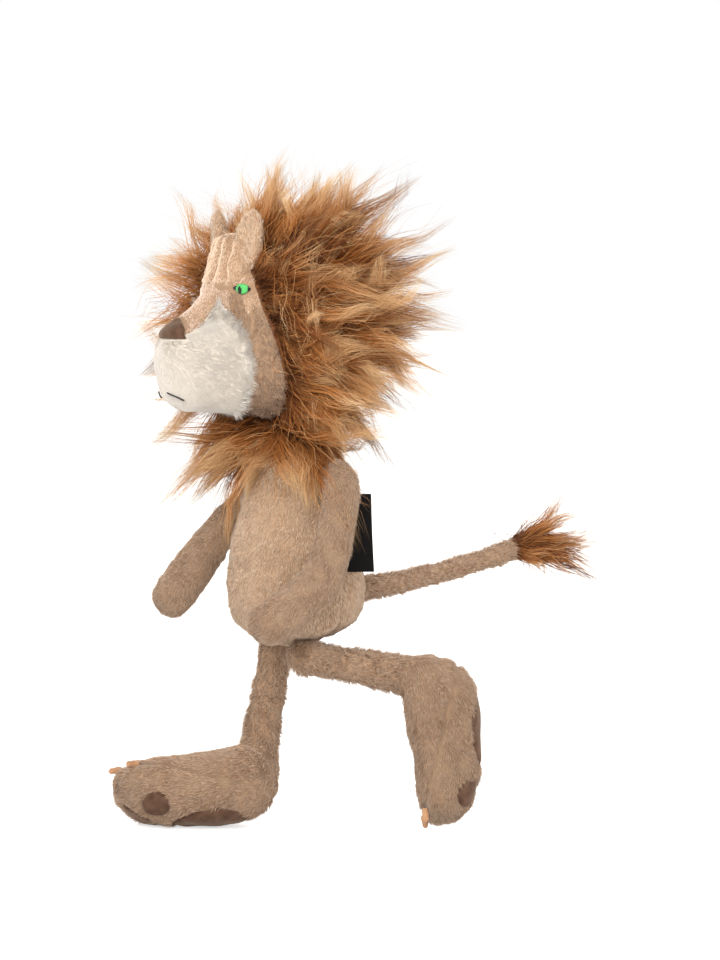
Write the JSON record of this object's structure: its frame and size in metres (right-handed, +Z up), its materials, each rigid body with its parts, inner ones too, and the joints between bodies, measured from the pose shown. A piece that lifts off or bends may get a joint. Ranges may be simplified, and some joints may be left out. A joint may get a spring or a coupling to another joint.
{
  "type": "stuffed animal",
  "caption": "Long-limbed plush lion in mid stride, with a shaggy mane, a ruff, large padded feet and a tufted tail.",
  "frame": {"origin": "on the floor, under the middle of the whole figure at rest", "axes": "+Z up, -X the way the lion looks, +X towards the tail, -Y the side of its left arm and leg"},
  "size_m": [0.3094, 0.1948, 0.3977],
  "materials": {
    "tan_plush": "matte",
    "face_plush": "matte",
    "white_plush": "matte",
    "brown_velour": "matte",
    "long_pile": "matte",
    "eye_thread": "matte",
    "claw_felt": "matte",
    "black_ribbon": "matte",
    "stuffing": "matte"
  },
  "bodies": {
    "torso": {"torso_front_panel": "tan_plush", "torso_back_panel": "tan_plush", "torso_stuffing": "stuffing", "side_label": "black_ribbon"},
    "neck": {"neck_stem": "tan_plush", "neck_ruff": "long_pile"},
    "head": {"face_cover": "face_plush", "muzzle_cover": "white_plush", "nose": "brown_velour", "eye_left": "eye_thread", "eye_right": "eye_thread", "ear_left": "tan_plush", "ear_right": "tan_plush", "mane_left": "long_pile", "mane_right": "long_pile", "head_stuffing": "stuffing"},
    "tail": {"tail_cover": "tan_plush", "tail_stuffing": "stuffing", "tail_tuft": "long_pile"},
    "arm_left": {"arm_left_cover": "tan_plush", "arm_left_stuffing": "stuffing"},
    "leg_left": {"leg_left_cover": "tan_plush", "leg_left_stuffing": "stuffing"},
    "foot_left": {"foot_left_upper": "tan_plush", "foot_left_sole": "tan_plush", "foot_left_stuffing": "stuffing", "foot_left_sole_pad": "brown_velour", "foot_left_toe_pad_inner": "brown_velour", "foot_left_toe_pad_middle": "brown_velour", "foot_left_toe_pad_outer": "brown_velour", "foot_left_claw_inner": "claw_felt", "foot_left_claw_middle": "claw_felt", "foot_left_claw_outer": "claw_felt"},
    "arm_right": {"arm_right_cover": "tan_plush", "arm_right_stuffing": "stuffing"},
    "leg_right": {"leg_right_cover": "tan_plush", "leg_right_stuffing": "stuffing"},
    "foot_right": {"foot_right_upper": "tan_plush", "foot_right_sole": "tan_plush", "foot_right_stuffing": "stuffing", "foot_right_sole_pad": "brown_velour", "foot_right_toe_pad_inner": "brown_velour", "foot_right_toe_pad_middle": "brown_velour", "foot_right_toe_pad_outer": "brown_velour", "foot_right_claw_inner": "claw_felt", "foot_right_claw_middle": "claw_felt", "foot_right_claw_outer": "claw_felt"}
  },
  "joints": [
    {"name": "neck_turn", "type": "hinge", "parent": "torso", "child": "neck", "pos_m": [-0.05383, 0.00127, 0.22934], "axis": [-0.0558, 0, 0.9984], "range_deg": [-25, 25]},
    {"name": "head_nod", "type": "hinge", "parent": "neck", "child": "head", "pos_m": [-0.05483, 0.00127, 0.24732], "axis": [0, 1, 0], "range_deg": [-12, 12]},
    {"name": "shoulder_left", "type": "hinge", "parent": "torso", "child": "arm_left", "pos_m": [-0.04367, -0.03133, 0.21789], "axis": [0, 1, 0], "range_deg": [-75, 45]},
    {"name": "shoulder_right", "type": "hinge", "parent": "torso", "child": "arm_right", "pos_m": [-0.04367, 0.03387, 0.21789], "axis": [0, 1, 0], "range_deg": [-85, 38]},
    {"name": "hip_left", "type": "hinge", "parent": "torso", "child": "leg_left", "pos_m": [-0.05064, -0.01973, 0.10963], "axis": [0, 1, 0], "range_deg": [-5, 140]},
    {"name": "hip_right", "type": "hinge", "parent": "torso", "child": "leg_right", "pos_m": [-0.05064, 0.02227, 0.10963], "axis": [0, 1, 0], "range_deg": [-75, 70]},
    {"name": "ankle_left", "type": "hinge", "parent": "leg_left", "child": "foot_left", "pos_m": [0.00842, -0.02573, 0.09906], "axis": [0, 1, 0], "range_deg": [-25, 25]},
    {"name": "ankle_right", "type": "hinge", "parent": "leg_right", "child": "foot_right", "pos_m": [-0.05566, 0.02827, 0.04985], "axis": [0, 1, 0], "range_deg": [-25, 25]},
    {"name": "tail_swing", "type": "hinge", "parent": "torso", "child": "tail", "pos_m": [-0.0072, 0.00127, 0.14782], "axis": [0, 1, 0], "range_deg": [-35, 50]}
  ]
}
